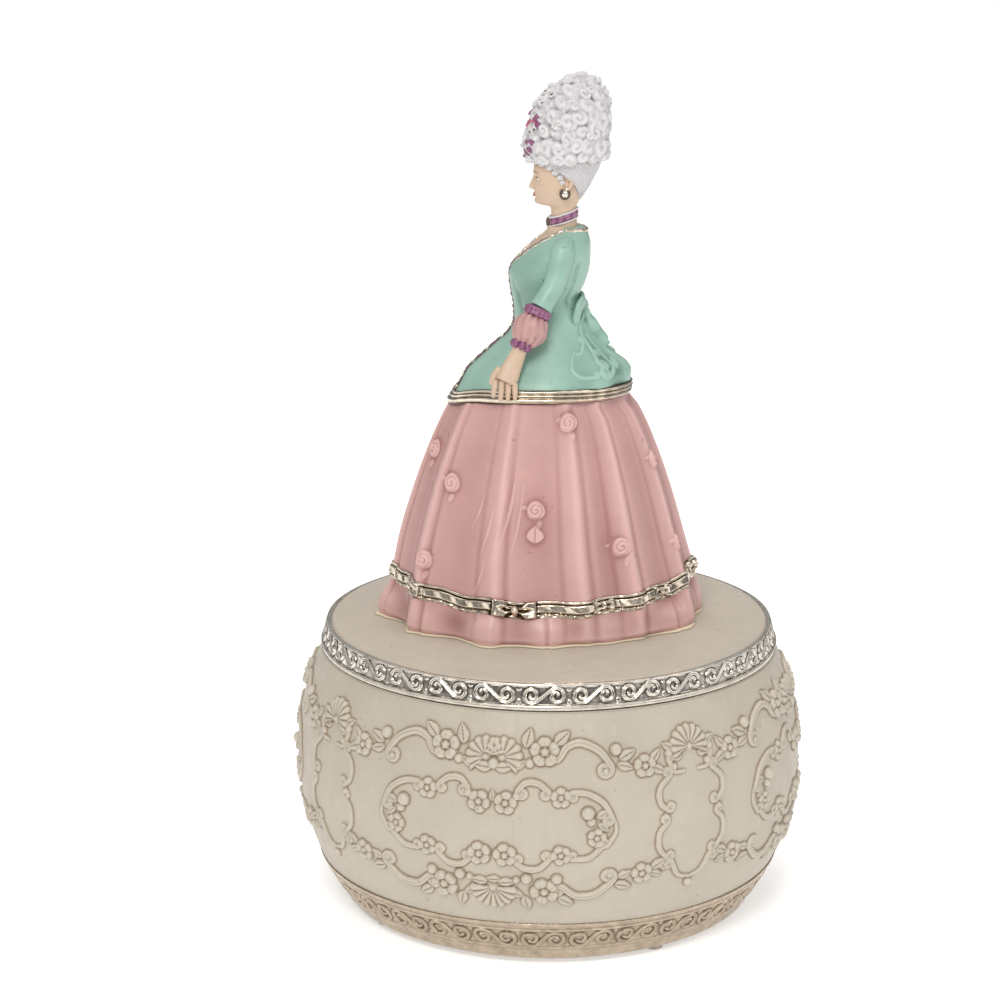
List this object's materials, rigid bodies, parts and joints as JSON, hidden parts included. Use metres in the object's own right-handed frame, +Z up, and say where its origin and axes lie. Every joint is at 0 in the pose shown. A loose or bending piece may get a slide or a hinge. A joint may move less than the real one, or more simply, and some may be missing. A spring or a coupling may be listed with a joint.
{
  "type": "ballerina jewellery box",
  "caption": "Barrel-shaped musical jewellery box with a lined tray, a wind-up comb movement and a lift-off lid that turns with a standing lady in court dress.",
  "frame": {"origin": "on the table, at the bottom centre of the felt pads, on the case's axis", "axes": "+Z up through the winding arbor and the output spindle; the lady faces -Y, turned 15 degrees towards +X, at rest; the movement's cylinder lies along +X"},
  "size_m": [0.1172, 0.1172, 0.1924],
  "materials": {
    "cream_resin": "satin",
    "champagne_paint": "satin",
    "silver_paint": "satin",
    "felt": "matte",
    "velvet": "matte",
    "cover_plastic": "satin",
    "pink_paint": "satin",
    "mint_paint": "satin",
    "skin_paint": "satin",
    "white_paint": "satin",
    "steel": "satin",
    "plated_steel": "polished",
    "blued_steel": "satin",
    "plated_casting": "satin",
    "brass": "satin"
  },
  "bodies": {
    "case": {"case_barrel": "cream_resin", "foot_band": "champagne_paint", "felt_pads": "felt", "bottom_cover": "cover_plastic", "cover_screws": "steel", "movement_screws": "steel", "jewel_tray": "velvet", "bedplate": "plated_casting", "spring_cup": "brass", "mainspring": "blued_steel", "spindle_bridge": "steel", "inner_bracket": "brass", "outer_bracket": "brass", "comb": "steel", "comb_screws": "steel", "governor_bracket": "brass", "frame_screws": "steel"},
    "key": {"winding_key": "plated_steel", "winding_arbor": "steel"},
    "spindle": {"great_wheel": "brass", "clutch_spring": "blued_steel", "output_spindle": "steel"},
    "lid": {"lid_plate": "cream_resin", "lid_band": "silver_paint", "lid_socket": "cover_plastic", "socket_screws": "steel", "figure_skirt": "pink_paint", "figure_jacket": "mint_paint", "figure_head": "skin_paint", "figure_hair": "white_paint", "figure_left_arm": "mint_paint", "figure_right_arm": "mint_paint", "back_bow": "mint_paint"},
    "tune_cylinder": {"cylinder_drum": "brass", "cylinder_pins": "steel", "cylinder_arbor": "steel", "drive_pinion": "brass", "cylinder_wheel": "brass"},
    "governor_wheel_1": {"first_governor_wheel": "brass"},
    "governor_wheel_2": {"second_governor_wheel": "brass"},
    "air_brake": {"governor_worm": "steel", "governor_fan": "brass"}
  },
  "joints": [
    {"name": "winding", "type": "hinge", "parent": "case", "child": "key", "pos_m": [0, 0, 0.01], "axis": [0, 0, 1], "continuous": true},
    {"name": "play_turn", "type": "hinge", "parent": "case", "child": "spindle", "pos_m": [0, 0, 0.0284], "axis": [0, 0, 1], "continuous": true},
    {"name": "cylinder_turn", "type": "hinge", "parent": "case", "child": "tune_cylinder", "pos_m": [0.0235, 0, 0.02905], "axis": [1, 0, 0], "continuous": true},
    {"name": "governor_turn_1", "type": "hinge", "parent": "case", "child": "governor_wheel_1", "pos_m": [0.0325, -0.00895, 0.02579], "axis": [1, 0, 0], "continuous": true},
    {"name": "governor_turn_2", "type": "hinge", "parent": "case", "child": "governor_wheel_2", "pos_m": [0.0325, -0.01415, 0.03016], "axis": [1, 0, 0], "continuous": true},
    {"name": "air_brake_turn", "type": "hinge", "parent": "case", "child": "air_brake", "pos_m": [0.0321, -0.01925, 0.0216], "axis": [0, 0, 1], "continuous": true},
    {"name": "lid_lift", "type": "slide", "parent": "spindle", "child": "lid", "axis": [0, 0, 1], "range_m": [0, 0.09]}
  ],
  "couplings": [
    {"joint": "cylinder_turn", "follows": "play_turn", "ratio": 3},
    {"joint": "governor_turn_1", "follows": "play_turn", "ratio": -18},
    {"joint": "governor_turn_2", "follows": "play_turn", "ratio": 72},
    {"joint": "air_brake_turn", "follows": "play_turn", "ratio": 1440}
  ]
}
